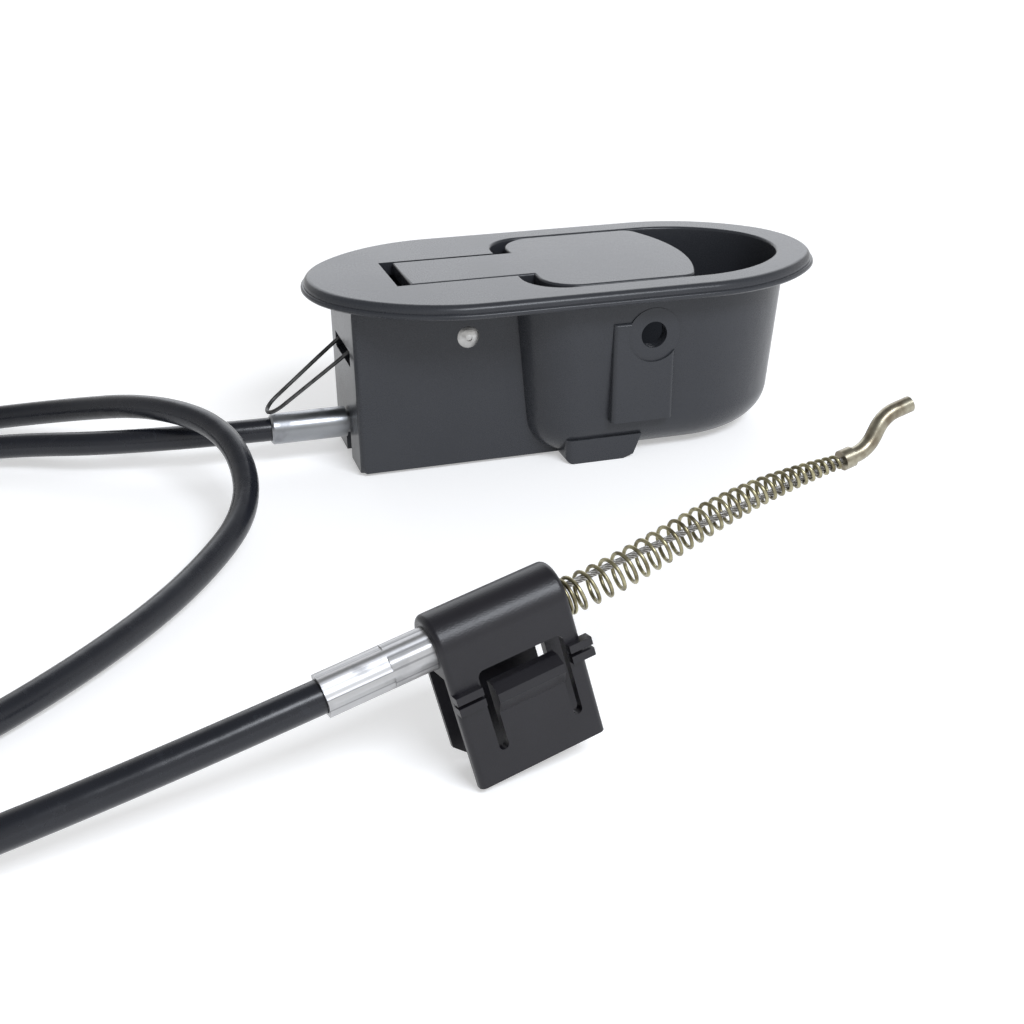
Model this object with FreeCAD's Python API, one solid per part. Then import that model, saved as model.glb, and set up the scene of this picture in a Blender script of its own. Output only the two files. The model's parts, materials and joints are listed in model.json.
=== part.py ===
"""Flush recliner pull handle with its Bowden cable, anchor clip, cone spring and hook tip.

Millimetres. +X runs along the flange towards the finger scoop, +Z is up and Z = 0 is the surface the
handle stands on. Sizes and places along X are counted from the middle of the flange, and the finished
pieces are moved by frame_shift() so that the handle is centred on the origin.
"""
import FreeCAD, Part
import math
import os

V = FreeCAD.Vector

# Flange
HEIGHT = 46.0
FLANGE_LENGTH = 131.5
FLANGE_WIDTH = 62.0
FLANGE_END = 38.0
FLANGE_THICK = 3.2
FLANGE_EDGE_R = 1.7
FLANGE_LIP = 0.7
FLANGE_LIP_THICK = 1.3
FLANGE_LIP_R = 0.6
FLANGE_UNDER_EASE = 0.4

# Scoop bowl
RIM_SIDE = 6.0
RIM_END = 7.5
BOWL_WALL = 2.2
BOWL_FLOOR = 2.6
BOWL_LEFT = -17.2
BOWL_CORNER_R = 12.0
BOWL_DRAFT = 3.2
BOWL_BOTTOM_R = 11.0
BASE_LIFT = 0.8
MOUTH_EDGE_R = 0.7
FOOT_START = -6.2
FOOT_LENGTH = 15.0
FOOT_DEPTH = 9.0
FOOT_HEIGHT = 6.2
FOOT_FLANK = 17.0
FOOT_EDGE_R = 2.0

# Screw pads on both sides of the bowl
PAD_START = 4.2
PAD_WIDTH = 16.0
PAD_PROUD = 0.3
PAD_TOP_DROP = 9.6
PAD_EDGE_R = 1.2
SCREW_HOLE_X = 14.6
SCREW_HOLE_DROP = 13.2
SCREW_HOLE_D = 6.6
SPOT_FACE_D = 13.4
SPOT_FACE_DEPTH = 0.5

# Mechanism box
BOX_WIDTH = 28.4
BOX_WALL = 2.0
BOX_END = -57.0
BOX_END_DRAFT = 0.8
DIVIDER_WALL = 2.4
DIVIDER_DROP = 13.0
WINDOW_WIDTH = 17.0
WINDOW_HEIGHT = 4.0
WINDOW_DROP = 17.5

# Lever paddle
PADDLE_THICK = 3.0
PADDLE_GAP = 0.8
PADDLE_END = 31.0
PADDLE_CROWN = 5.5
PADDLE_CORNER_R = 4.0
PADDLE_HEEL_R = 9.0
PADDLE_EDGE_R = 0.6
TAIL_WIDTH = 19.4
TAIL_GAP = 0.6
TAIL_REACH = 12.6
TAIL_SWING_GAP = 3.4
RELIEF_GAP = 4.0
CHEEK_THICK = 2.2
CHEEK_EYE_R = 5.2
RIB_END = 18.0
RIB_DEPTH = 7.5
RIB_TIP_DEPTH = 1.6
ARM_WIDTH = 9.6
ARM_FOOT = 3.2
ARM_CORNER_R = 1.6
ARM_REST_DEG = 27.0

# Pivot pin and its running fit
PIVOT_X = -28.9
PIVOT_DROP = 12.8
PIN_D = 3.6
PIN_HEAD_D = 5.4
PIN_HEAD_H = 0.9
PIN_DIMPLE_D = 1.6
PIN_DIMPLE_DEPTH = 0.35
RUNNING_FIT = 0.06
SEAT_FIT = 0.02

# Return spring
SPRING_WIRE_D = 1.0
SPRING_COIL_D = 5.8
SPRING_TURNS = 4
SPRING_COIL_GAP = 3.4
SPRING_PITCH = 1.06
SPRING_SEGMENTS = 10
SPRING_FREE_REACH = 10.5
SPRING_REST_GAP = 0.3
LOOP_WIDTH = 11.4
LOOP_END_WIDTH = 7.6
WIRE_SIDES = 6

# Cable at the handle
CABLE_DROP = 36.4
SHEATH_D = 5.8
CORE_D = 1.2
CORE_CLEARANCE = 0.1
SOCKET_FIT = 0.04
FERRULE_D = 7.6
FERRULE_LENGTH = 18.6
FERRULE_SOCKET = 12.0
FERRULE_NECK_D = 5.6
FERRULE_COLLAR = 2.5
FERRULE_STEP = 0.5
NECK_CLEARANCE = 0.15
NIPPLE_D = 5.0
NIPPLE_FIT = 0.6
NIPPLE_END_GAP = 0.4
SHEATH_BORE = 22.0
SHEATH_SIDES = 16

# Anchor clip, placed by the left end of its bore
CLIP_AT = (-71.2, -138.3, 24.5)
CLIP_AZIMUTH_DEG = 10.0
CLIP_RISE_DEG = 11.5
CLIP_ROLL_DEG = 10.0
CLIP_LENGTH = 24.0
CLIP_TOP_R = 5.6
CLIP_LEG = 25.2
CLIP_WALL = 1.9
REAR_LEG_CUT = 4.5
CLIP_CROWN_DROP = 4.6
CLIP_FIT = 0.08
CLIP_STOP = 2.0
CLIP_END_R = 1.1
TONGUE_MID = 13.0
TONGUE_WIDTH = 12.4
TONGUE_DROP = 8.0
TONGUE_LENGTH = 12.0
TONGUE_SLOT = 1.75
TONGUE_WINDOW = 3.0
TONGUE_WINDOW_R = 1.2
TONGUE_LIP = 1.9
TONGUE_LIP_HEIGHT = 5.4
TONGUE_LIP_PEAK = 1.2
TONGUE_LIP_FRONT = 1.6
RIB_BARS = 2
RIB_HEIGHT = 1.4
RIB_PITCH = 2.0
RIB_DROP = 7.2
RIB_SETBACK = 0.2
RIB_PROUD = 1.2
RIB_OVERHANG = 1.4
CLIP_FERRULE_D = 7.5
CLIP_FERRULE_OUT = 19.0
CLIP_FERRULE_SOCKET = 14.0
CRIMP_LENGTH = 11.5
CRIMP_FLAT = 0.25
CRIMP_SIDES = 6

# Cone spring, core and hook at the far end
CONE_LENGTH = 60.0
CONE_WIRE_D = 0.7
CONE_BIG_D = 6.9
CONE_SMALL_D = 3.0
CONE_TURNS = 30
CONE_SEGMENTS = 9
CONE_SEAT_GAP = 0.1
CONE_OPEN_SHARE = 1.3
CONE_DEAD_TURNS = 2
CONE_DEAD_PITCH = 0.9
CONE_TAPER_POWER = 2.4
HOOK_D = 3.0
HOOK_SHANK = 3.6
HOOK_SLANT = 4.8
HOOK_OFFSET = 4.8
HOOK_POINT = 6.0
HOOK_CRIMP_D = 3.8
HOOK_CRIMP_LENGTH = 2.2

# Route of the cable from the handle's ferrule to the clip's, chosen by hand
ROUTE = [
    (-105.0, 0.0, 9.6), (-147.0, 23.0, 5.0), (-190.0, 18.0, 3.0), (-216.0, -20.0, 3.0),
    (-217.0, -69.0, 3.0), (-192.0, -108.0, 3.0), (-153.0, -115.0, 3.5), (-126.0, -93.0, 4.0),
    (-103.0, -68.0, 5.0), (-86.0, -43.0, 9.5), (-87.0, -18.0, 17.5), (-102.0, 5.0, 17.5),
    (-124.0, 29.0, 9.5), (-153.0, 44.0, 3.5), (-190.0, 46.0, 3.0), (-226.0, 28.0, 3.0),
    (-245.0, -11.0, 3.0), (-249.0, -57.0, 3.0), (-235.0, -104.0, 3.0), (-203.0, -138.0, 3.0),
    (-162.0, -150.0, 5.5),
]
CABLE_LEAD = 48.0
ARC_SHARE = 0.45

# Places worked out from the driving dimensions
PIVOT_Z = HEIGHT - PIVOT_DROP
CABLE_Z = HEIGHT - CABLE_DROP
FLANGE_UNDER = HEIGHT - FLANGE_THICK
END_CENTRE_X = FLANGE_LENGTH / 2 - FLANGE_END
BOWL_HALF = FLANGE_WIDTH / 2 - RIM_SIDE
BOWL_END = FLANGE_END - RIM_END
MOUTH_LEFT = BOWL_LEFT + BOWL_WALL
MOUTH_HALF = BOWL_HALF - BOWL_WALL
TAIL_HALF = TAIL_WIDTH / 2
SLOT_HALF = TAIL_HALF + TAIL_GAP
SLOT_LEFT = PIVOT_X - TAIL_REACH - TAIL_SWING_GAP
BOX_HALF = BOX_WIDTH / 2
CHEEK_OUT = TAIL_HALF - 0.2
CHEEK_IN = CHEEK_OUT - CHEEK_THICK
ARM_LENGTH = PIVOT_Z - CABLE_Z
NIPPLE_X = PIVOT_X - ARM_LENGTH * math.tan(math.radians(ARM_REST_DEG))
FERRULE_OUT = BOX_END - FERRULE_LENGTH
LOOP_REACH = -FERRULE_OUT + SPRING_WIRE_D
SLOT_OUTER_LEFT = TONGUE_MID - TONGUE_WIDTH / 2 - TONGUE_SLOT
SLOT_OUTER_RIGHT = TONGUE_MID + TONGUE_WIDTH / 2 + TONGUE_SLOT


def frame_shift():
    """Move that centres the handle, its spring loop included, on the origin along X."""
    return V((LOOP_REACH - FLANGE_LENGTH / 2) / 2, 0, 0)


def arch_end(centre_x, reach, half, z, side):
    """Three tangent arcs that close an outline at +X (side 1) or -X (side -1)."""
    tip_r = half ** 2 / reach
    side_r = (reach ** 2 + half ** 2 - 2 * reach * tip_r) / (2 * (half - tip_r))
    lean = math.atan2(side_r - half, reach - tip_r)
    mid = (math.pi / 2 + lean) / 2

    def at(x, y):
        return V(centre_x + side * x, side * y, z)

    meet_x = reach - tip_r + tip_r * math.cos(lean)
    meet_y = tip_r * math.sin(lean)
    mid_x = side_r * math.cos(mid)
    mid_y = half - side_r + side_r * math.sin(mid)
    return [
        Part.Arc(at(0, -half), at(mid_x, -mid_y), at(meet_x, -meet_y)).toShape(),
        Part.Arc(at(meet_x, -meet_y), at(reach, 0), at(meet_x, meet_y)).toShape(),
        Part.Arc(at(meet_x, meet_y), at(mid_x, mid_y), at(0, half)).toShape(),
    ]


def oval(z, inset):
    """Face of the flange: straight sides and a round arch at each end."""
    c, h, reach = END_CENTRE_X, FLANGE_WIDTH / 2 - inset, FLANGE_END - inset
    edges = [Part.makeLine(V(-c, -h, z), V(c, -h, z))] + arch_end(c, reach, h, z, 1)
    edges += [Part.makeLine(V(c, h, z), V(-c, h, z))] + arch_end(-c, reach, h, z, -1)
    return Part.Face(Part.Wire(edges))


def dee(z, inset, draft):
    """Bowl outline at one height: flat left end with round corners, round arch at the right end."""
    left, half = BOWL_LEFT + inset + draft, BOWL_HALF - inset - draft
    r, c = BOWL_CORNER_R - inset, END_CENTRE_X
    bend = r * math.sqrt(0.5)
    mid = left + r - bend
    edges = [Part.makeLine(V(left + r, -half, z), V(c, -half, z))]
    edges += arch_end(c, BOWL_END - inset - draft, half, z, 1)
    edges += [
        Part.makeLine(V(c, half, z), V(left + r, half, z)),
        Part.Arc(V(left + r, half, z), V(mid, half - r + bend, z), V(left, half - r, z)).toShape(),
        Part.makeLine(V(left, half - r, z), V(left, r - half, z)),
        Part.Arc(V(left, r - half, z), V(mid, r - half - bend, z), V(left + r, -half, z)).toShape(),
    ]
    return Part.Wire(edges)


def bowl_solid(bottom, top, inset, bottom_r):
    """Drafted bowl with a rounded bottom edge."""
    solid = Part.makeLoft([dee(bottom, inset, BOWL_DRAFT), dee(top, inset, 0)], True, True)
    low = [e for e in solid.Edges if e.BoundBox.ZMax < bottom + 0.01]
    return solid.makeFillet(bottom_r, low)


def block(x0, x1, y0, y1, z0, z1):
    """Box between two corners."""
    return Part.makeBox(x1 - x0, y1 - y0, z1 - z0, V(x0, y0, z0))


def rod(radius, start, end):
    """Cylinder between two points."""
    axis = end - start
    return Part.makeCylinder(radius, axis.Length, start, axis)


def flange_plate():
    """Oval plate with a rounded show edge over a thin lip."""
    plate = oval(FLANGE_UNDER, FLANGE_LIP).extrude(V(0, 0, FLANGE_THICK))
    show = [e for e in plate.Edges if e.BoundBox.ZMin > HEIGHT - 0.01]
    plate = plate.makeFillet(FLANGE_EDGE_R, show)
    lip = oval(FLANGE_UNDER, 0).extrude(V(0, 0, FLANGE_LIP_THICK))
    top = FLANGE_UNDER + FLANGE_LIP_THICK
    lip = lip.makeFillet(FLANGE_LIP_R, [e for e in lip.Edges if e.BoundBox.ZMin > top - 0.01])
    under = [e for e in lip.Edges if e.BoundBox.ZMax < FLANGE_UNDER + 0.01]
    return plate.fuse(lip.makeChamfer(FLANGE_UNDER_EASE, under))


def box_shell():
    """Outside of the mechanism box: upright sides, end wall drawn in towards its foot."""
    right, top = BOWL_LEFT + BOWL_CORNER_R, FLANGE_UNDER + 1
    profile = Part.makePolygon([
        V(BOX_END, -BOX_HALF, top), V(BOX_END + BOX_END_DRAFT, -BOX_HALF, BASE_LIFT),
        V(right, -BOX_HALF, BASE_LIFT), V(right, -BOX_HALF, top), V(BOX_END, -BOX_HALF, top)])
    return Part.Face(profile).extrude(V(0, BOX_WIDTH, 0))


def screw_pad(side):
    """Upright pad for a screw on one side of the bowl, its round seat and the foot with its long flank."""
    face = side * (BOWL_HALF + PAD_PROUD)
    root = side * (BOWL_HALF - BOWL_WALL - BOWL_DRAFT)
    top = HEIGHT - PAD_TOP_DROP
    pad = block(PAD_START, PAD_START + PAD_WIDTH, min(face, root), max(face, root), BOWL_BOTTOM_R, top)
    rim = [e for e in pad.Edges if abs(e.BoundBox.YMin - face) < 0.01 and e.BoundBox.YLength < 0.01
           and e.BoundBox.ZMax > top - 0.01]
    pad = pad.makeFillet(PAD_EDGE_R, rim)
    z = HEIGHT - SCREW_HOLE_DROP
    seat = rod(SPOT_FACE_D / 2, V(SCREW_HOLE_X, root, z), V(SCREW_HOLE_X, face - side * SPOT_FACE_DEPTH, z))
    front = side * (BOWL_HALF - BOWL_DRAFT)
    back = front - side * FOOT_DEPTH
    heel, toe = FOOT_START, FOOT_START + FOOT_LENGTH
    foot = Part.Face(Part.makePolygon([
        V(heel, front, 0), V(toe, front, 0), V(toe + FOOT_FLANK, front, FOOT_HEIGHT),
        V(heel, front, FOOT_HEIGHT), V(heel, front, 0)])).extrude(V(0, back - front, 0))
    ends = [e for e in foot.Edges if e.BoundBox.XMax < heel + 0.01 and e.BoundBox.ZMin < 0.01
            and (e.BoundBox.ZMax < 0.01 or abs(e.BoundBox.YMin - front) < 0.01)]
    return pad.multiFuse([seat, foot.makeFillet(FOOT_EDGE_R, ends)])


def screw_cut(side):
    """Screw hole through a pad with its shallow spot face."""
    z = HEIGHT - SCREW_HOLE_DROP
    face = side * (BOWL_HALF + PAD_PROUD)
    out = V(0, side, 0)
    hole = rod(SCREW_HOLE_D / 2, V(SCREW_HOLE_X, face, z) + out, V(SCREW_HOLE_X, side * BOWL_HALF / 2, z))
    spot_floor = V(SCREW_HOLE_X, face - side * SPOT_FACE_DEPTH, z)
    return hole.fuse(rod(SPOT_FACE_D / 2, spot_floor, V(SCREW_HOLE_X, face, z) + out))


def mechanism_cut():
    """Open bay under the tail with its slot, spring window, pin holes and ferrule notch."""
    inner = BOX_HALF - BOX_WALL
    right = BOWL_LEFT + BOWL_WALL - DIVIDER_WALL
    bay = block(BOX_END + BOX_END_DRAFT + BOX_WALL, right, -inner, inner, -1, FLANGE_UNDER)
    slot = block(SLOT_LEFT, MOUTH_LEFT + 1, -SLOT_HALF, SLOT_HALF, FLANGE_UNDER - 1, HEIGHT + 1)
    sill = block(right - 1, MOUTH_LEFT + BOWL_WALL, -SLOT_HALF, SLOT_HALF, HEIGHT - DIVIDER_DROP, HEIGHT)
    wall_in, wall_out = BOX_END + BOX_END_DRAFT + BOX_WALL + 1, BOX_END - 1
    z = HEIGHT - WINDOW_DROP
    window = block(wall_out, wall_in, -WINDOW_WIDTH / 2, WINDOW_WIDTH / 2,
                   z - WINDOW_HEIGHT / 2, z + WINDOW_HEIGHT / 2)
    neck = FERRULE_NECK_D / 2 + NECK_CLEARANCE
    notch = rod(neck, V(wall_out, 0, CABLE_Z), V(wall_in, 0, CABLE_Z))
    notch = notch.fuse(block(wall_out, wall_in, -neck, neck, -1, CABLE_Z))
    pin = rod(PIN_D / 2 + SEAT_FIT, V(PIVOT_X, -BOX_WIDTH, PIVOT_Z), V(PIVOT_X, BOX_WIDTH, PIVOT_Z))
    return bay.multiFuse([slot, sill, window, notch, pin])


def housing():
    """Die-cast housing: flange, scoop bowl and mechanism box in one piece."""
    bowl = bowl_solid(BASE_LIFT, FLANGE_UNDER + 1, 0, BOWL_BOTTOM_R)
    outside = flange_plate().multiFuse([bowl, box_shell(), screw_pad(-1), screw_pad(1)])
    scoop = bowl_solid(BASE_LIFT + BOWL_FLOOR, HEIGHT + 1, BOWL_WALL, BOWL_BOTTOM_R - BOWL_WALL)
    body = outside.cut(scoop).removeSplitter()
    mouth = [e for e in body.Edges if e.BoundBox.ZMin > HEIGHT - 0.01 and e.BoundBox.YMax < MOUTH_HALF + 0.1
             and e.BoundBox.YMin > -MOUTH_HALF - 0.1 and e.BoundBox.XMax < END_CENTRE_X + BOWL_END]
    body = body.makeFillet(MOUTH_EDGE_R, mouth)
    return body.cut(mechanism_cut()).cut(screw_cut(-1)).cut(screw_cut(1)).removeSplitter()


def paddle_plate():
    """T-shaped show plate: tail in the slot, wide grip with a bowed front edge over the scoop."""
    half = MOUTH_HALF - PADDLE_GAP
    left, tail = MOUTH_LEFT + RELIEF_GAP, PIVOT_X - TAIL_REACH
    shoulder = PADDLE_END - PADDLE_CROWN
    z = HEIGHT - PADDLE_THICK
    edges = [
        Part.makeLine(V(tail, -TAIL_HALF, z), V(left, -TAIL_HALF, z)),
        Part.makeLine(V(left, -TAIL_HALF, z), V(left, -half, z)),
        Part.makeLine(V(left, -half, z), V(shoulder, -half, z)),
        Part.Arc(V(shoulder, -half, z), V(PADDLE_END, 0, z), V(shoulder, half, z)).toShape(),
        Part.makeLine(V(shoulder, half, z), V(left, half, z)),
        Part.makeLine(V(left, half, z), V(left, TAIL_HALF, z)),
        Part.makeLine(V(left, TAIL_HALF, z), V(tail, TAIL_HALF, z)),
        Part.makeLine(V(tail, TAIL_HALF, z), V(tail, -TAIL_HALF, z)),
    ]
    plate = Part.Face(Part.Wire(edges)).extrude(V(0, 0, PADDLE_THICK))
    corners = [e for e in plate.Edges if e.BoundBox.ZLength > PADDLE_THICK / 2
               and abs(abs(e.BoundBox.YMin) - half) < 0.01]
    plate = plate.makeFillet(PADDLE_CORNER_R, [e for e in corners if e.BoundBox.XMin > left + 0.01])
    heels = [e for e in plate.Edges if e.BoundBox.ZLength > PADDLE_THICK / 2
             and abs(abs(e.BoundBox.YMin) - half) < 0.01 and e.BoundBox.XMax < left + 0.01]
    plate = plate.makeFillet(PADDLE_HEEL_R, heels)
    show = [e for e in plate.Edges if e.BoundBox.ZMin > HEIGHT - 0.01]
    return plate.makeFillet(PADDLE_EDGE_R, show)


def cheek(side):
    """Side web of the lever: stiffening rib, pivot eye and the slotted arm that draws the cable."""
    under = HEIGHT - PADDLE_THICK
    start = PIVOT_X - CHEEK_EYE_R
    y = CHEEK_IN if side > 0 else -CHEEK_OUT
    rib = Part.Face(Part.makePolygon([
        V(start, y, under + 1), V(start, y, PIVOT_Z), V(PIVOT_X + CHEEK_EYE_R, y, PIVOT_Z),
        V(MOUTH_LEFT, y, under - RIB_DEPTH), V(RIB_END, y, under - RIB_TIP_DEPTH),
        V(RIB_END, y, under + 1), V(start, y, under + 1)])).extrude(V(0, CHEEK_THICK, 0))
    eye = rod(CHEEK_EYE_R, V(PIVOT_X, y, PIVOT_Z), V(PIVOT_X, y + CHEEK_THICK, PIVOT_Z))
    reach = ARM_LENGTH / math.cos(math.radians(ARM_REST_DEG))
    half = ARM_WIDTH / 2
    foot = PIVOT_Z - reach - ARM_FOOT
    arm = block(PIVOT_X - half, PIVOT_X + half, y, y + CHEEK_THICK, foot, PIVOT_Z)
    arm = arm.makeFillet(ARM_CORNER_R, [e for e in arm.Edges if e.BoundBox.ZMax < foot + 0.01
                                        and e.BoundBox.YLength > CHEEK_THICK / 2])
    slack = NIPPLE_D / 2 + NIPPLE_FIT
    top, y0, y1 = PIVOT_Z - ARM_LENGTH, y - 1, y + CHEEK_THICK + 1
    slot = rod(slack, V(PIVOT_X, y0, top), V(PIVOT_X, y1, top))
    arm = arm.cut(slot.fuse(block(PIVOT_X - slack, PIVOT_X + slack, y0, y1, foot - 1, top)))
    arm.rotate(V(PIVOT_X, 0, PIVOT_Z), V(0, 1, 0), ARM_REST_DEG)
    return rib.multiFuse([eye, arm])


def paddle():
    """Lever paddle that runs on the pivot pin."""
    body = paddle_plate().multiFuse([cheek(-1), cheek(1)])
    bore = rod(PIN_D / 2 + RUNNING_FIT, V(PIVOT_X, -BOX_WIDTH, PIVOT_Z), V(PIVOT_X, BOX_WIDTH, PIVOT_Z))
    return body.cut(bore).removeSplitter()


def pin_head(side):
    """Peened head with a dimple, on one outer face of the box."""
    seat = V(PIVOT_X, side * BOX_HALF, PIVOT_Z)
    out = V(0, side, 0)
    rise, half = PIN_HEAD_H, PIN_HEAD_D / 2
    ball_r = (half ** 2 + rise ** 2) / (2 * rise)
    ball = Part.makeSphere(ball_r, seat + out * (rise - ball_r))
    head = ball.common(rod(half + 1, seat, seat + out * (rise + 1)))
    dimple = rod(PIN_DIMPLE_D / 2, seat + out * (rise - PIN_DIMPLE_DEPTH), seat + out * (rise + 1))
    return head.cut(dimple)


def pivot_pin():
    """Rivet that carries the lever across the box."""
    shank = rod(PIN_D / 2, V(PIVOT_X, -BOX_HALF, PIVOT_Z), V(PIVOT_X, BOX_HALF, PIVOT_Z))
    return shank.multiFuse([pin_head(-1), pin_head(1)]).removeSplitter()


def wire_tube(points, diameter, sides):
    """Wire of a many-sided section swept along straight runs with mitred joints."""
    path = Part.makePolygon(points)
    along = (points[1] - points[0]).normalize()
    across = along.cross(V(0, 0, 1) if abs(along.z) < 0.9 else V(1, 0, 0)).normalize()
    up = across.cross(along)
    turn = 2 * math.pi / sides
    reach = diameter / 2 * math.sqrt(turn / math.sin(turn))
    ring = [points[0] + across * (reach * math.cos(k * turn)) + up * (reach * math.sin(k * turn))
            for k in range(sides)]
    pipe = Part.BRepOffsetAPI.MakePipeShell(path)
    pipe.setTransitionMode(1)
    pipe.add(Part.makePolygon(ring + ring[:1]))
    pipe.build()
    pipe.makeSolid()
    return pipe.shape()


def spring_half(side):
    """Points of one half of the return spring, from its free end under the tail to the loop's tip."""
    r = SPRING_COIL_D / 2
    inner = side * SPRING_COIL_GAP / 2
    free_z = HEIGHT - PADDLE_THICK - SPRING_WIRE_D / 2 - SPRING_REST_GAP
    points = [V(PIVOT_X - SPRING_FREE_REACH, inner, free_z)]
    steps = SPRING_TURNS * SPRING_SEGMENTS + SPRING_SEGMENTS // 2
    for k in range(steps + 1):
        angle = math.pi / 2 - 2 * math.pi * k / SPRING_SEGMENTS
        y = inner + side * SPRING_PITCH * k / SPRING_SEGMENTS
        points.append(V(PIVOT_X + r * math.cos(angle), y, PIVOT_Z + r * math.sin(angle)))
    window_z = HEIGHT - WINDOW_DROP
    tip_z = CABLE_Z + FERRULE_D / 2 + SPRING_WIRE_D
    tip_x = -LOOP_REACH + SPRING_WIRE_D / 2
    half = LOOP_END_WIDTH / 2
    bend = half * (1 - math.sqrt(0.5))
    slope = (window_z - tip_z) / (BOX_END - tip_x)
    points.append(V(BOX_END, side * LOOP_WIDTH / 2, window_z))
    points.append(V(tip_x + half, side * half, tip_z + half * slope))
    points.append(V(tip_x + bend, side * half * math.sqrt(0.5), tip_z + bend * slope))
    return points


def return_spring():
    """Double torsion spring: two coils on the pin, free ends under the tail, loop over the ferrule."""
    near, far = spring_half(-1), spring_half(1)
    tip = V(-LOOP_REACH + SPRING_WIRE_D / 2, 0, CABLE_Z + FERRULE_D / 2 + SPRING_WIRE_D)
    return wire_tube(near + [tip] + far[::-1], SPRING_WIRE_D, WIRE_SIDES)


def handle_ferrule():
    """Turned ferrule: barrel outside the end wall, neck in its notch and a collar inside."""
    x_wall, x_in = BOX_END, BOX_END + BOX_END_DRAFT + BOX_WALL
    neck_end = x_in + NECK_CLEARANCE
    r = FERRULE_D / 2
    body = rod(r, V(FERRULE_OUT, 0, CABLE_Z), V(x_wall, 0, CABLE_Z)).multiFuse([
        rod(FERRULE_NECK_D / 2, V(x_wall, 0, CABLE_Z), V(neck_end, 0, CABLE_Z)),
        rod(r, V(neck_end, 0, CABLE_Z), V(neck_end + FERRULE_COLLAR, 0, CABLE_Z))])
    mouth = [e for e in body.Edges if e.BoundBox.XMax < FERRULE_OUT + 0.01]
    body = body.makeChamfer(FERRULE_STEP, mouth)
    socket = rod(SHEATH_D / 2 + SOCKET_FIT, V(FERRULE_OUT - 1, 0, CABLE_Z),
                 V(FERRULE_OUT + FERRULE_SOCKET, 0, CABLE_Z))
    bore = rod(CORE_D / 2 + CORE_CLEARANCE, V(FERRULE_OUT, 0, CABLE_Z),
               V(neck_end + FERRULE_COLLAR + 1, 0, CABLE_Z))
    return body.cut(socket).cut(bore)


def cable_nipple():
    """Cross barrel cast on the end of the core, lying in the slots of both arms."""
    half = BOX_HALF - BOX_WALL - NIPPLE_END_GAP
    return rod(NIPPLE_D / 2, V(NIPPLE_X, -half, CABLE_Z), V(NIPPLE_X, half, CABLE_Z))


def pull_core():
    """Steel core from the sheath, through the ferrule, to the nipple."""
    core = rod(CORE_D / 2, V(FERRULE_OUT, 0, CABLE_Z), V(NIPPLE_X, 0, CABLE_Z))
    return core.cut(cable_nipple())


def rounded_path(points):
    """Straight runs joined by the largest tangent arcs that the runs allow, with their radii."""
    edges, radii, last = [], [], points[0]
    for before, corner, after in zip(points, points[1:], points[2:]):
        back, ahead = before - corner, after - corner
        trim = ARC_SHARE * min(back.Length, ahead.Length)
        half_turn = (math.pi - back.getAngle(ahead)) / 2
        radius = trim / math.tan(half_turn)
        start = corner + back.normalize() * trim
        end = corner + ahead.normalize() * trim
        middle = (back + ahead).normalize()
        inside = radius / math.cos(half_turn) - radius
        edges.append(Part.makeLine(last, start))
        edges.append(Part.Arc(start, corner + middle * inside, end).toShape())
        radii.append(radius)
        last = end
    edges.append(Part.makeLine(last, points[-1]))
    return Part.Wire(edges), radii


def clip_place():
    """Placement of the anchor clip: its bore's left end, azimuth, rise and roll."""
    turn = FreeCAD.Rotation(V(0, 0, 1), CLIP_AZIMUTH_DEG)
    rise = FreeCAD.Rotation(V(0, 1, 0), -CLIP_RISE_DEG)
    roll = FreeCAD.Rotation(V(1, 0, 0), -CLIP_ROLL_DEG)
    return FreeCAD.Placement(V(*CLIP_AT), turn.multiply(rise).multiply(roll))


def cable_sheath():
    """Black outer sheath along the cable's route, bored at both ends for the moving core."""
    start = V(FERRULE_OUT + FERRULE_SOCKET, 0, CABLE_Z)
    end = clip_place().multVec(V(CLIP_FERRULE_SOCKET - CLIP_FERRULE_OUT, 0, 0))
    lead = clip_place().multVec(V(-CABLE_LEAD, 0, 0))
    path, radii = rounded_path([start] + [V(*p) for p in ROUTE] + [lead, end])
    first = path.Edges[0]
    along = first.tangentAt(first.FirstParameter)
    corner = [FreeCAD.Rotation(along, 360 * k / SHEATH_SIDES).multVec(V(0, 0, SHEATH_D / 2))
              for k in range(SHEATH_SIDES)]
    ring = Part.makePolygon([start + c for c in corner + corner[:1]])
    tube = path.makePipeShell([ring], True, False)
    share = tube.Volume / (Part.Face(ring).Area * path.Length)
    print(f"cable {path.Length:.1f} mm, smallest radius {min(radii):.1f} mm, volume share {share:.4f}")
    into = clip_place().Rotation.multVec(V(1, 0, 0)) * SHEATH_BORE
    hole = CORE_D / 2 + CORE_CLEARANCE
    return tube.cut(rod(hole, start, start - V(SHEATH_BORE, 0, 0))).cut(rod(hole, end, end - into))


def clip_profile():
    """Cross section of the clip: round crown over two legs."""
    r, w = CLIP_TOP_R, CLIP_TOP_R - CLIP_WALL
    edges = [
        Part.makeLine(V(0, -r, -CLIP_LEG), V(0, -w, -CLIP_LEG)),
        Part.makeLine(V(0, -w, -CLIP_LEG), V(0, -w, -CLIP_CROWN_DROP)),
        Part.makeLine(V(0, -w, -CLIP_CROWN_DROP), V(0, w, -CLIP_CROWN_DROP)),
        Part.makeLine(V(0, w, -CLIP_CROWN_DROP), V(0, w, -CLIP_LEG)),
        Part.makeLine(V(0, w, -CLIP_LEG), V(0, r, -CLIP_LEG)),
        Part.makeLine(V(0, r, -CLIP_LEG), V(0, r, 0)),
        Part.Arc(V(0, r, 0), V(0, 0, r), V(0, -r, 0)).toShape(),
        Part.makeLine(V(0, -r, 0), V(0, -r, -CLIP_LEG)),
    ]
    return Part.Face(Part.Wire(edges))


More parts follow.
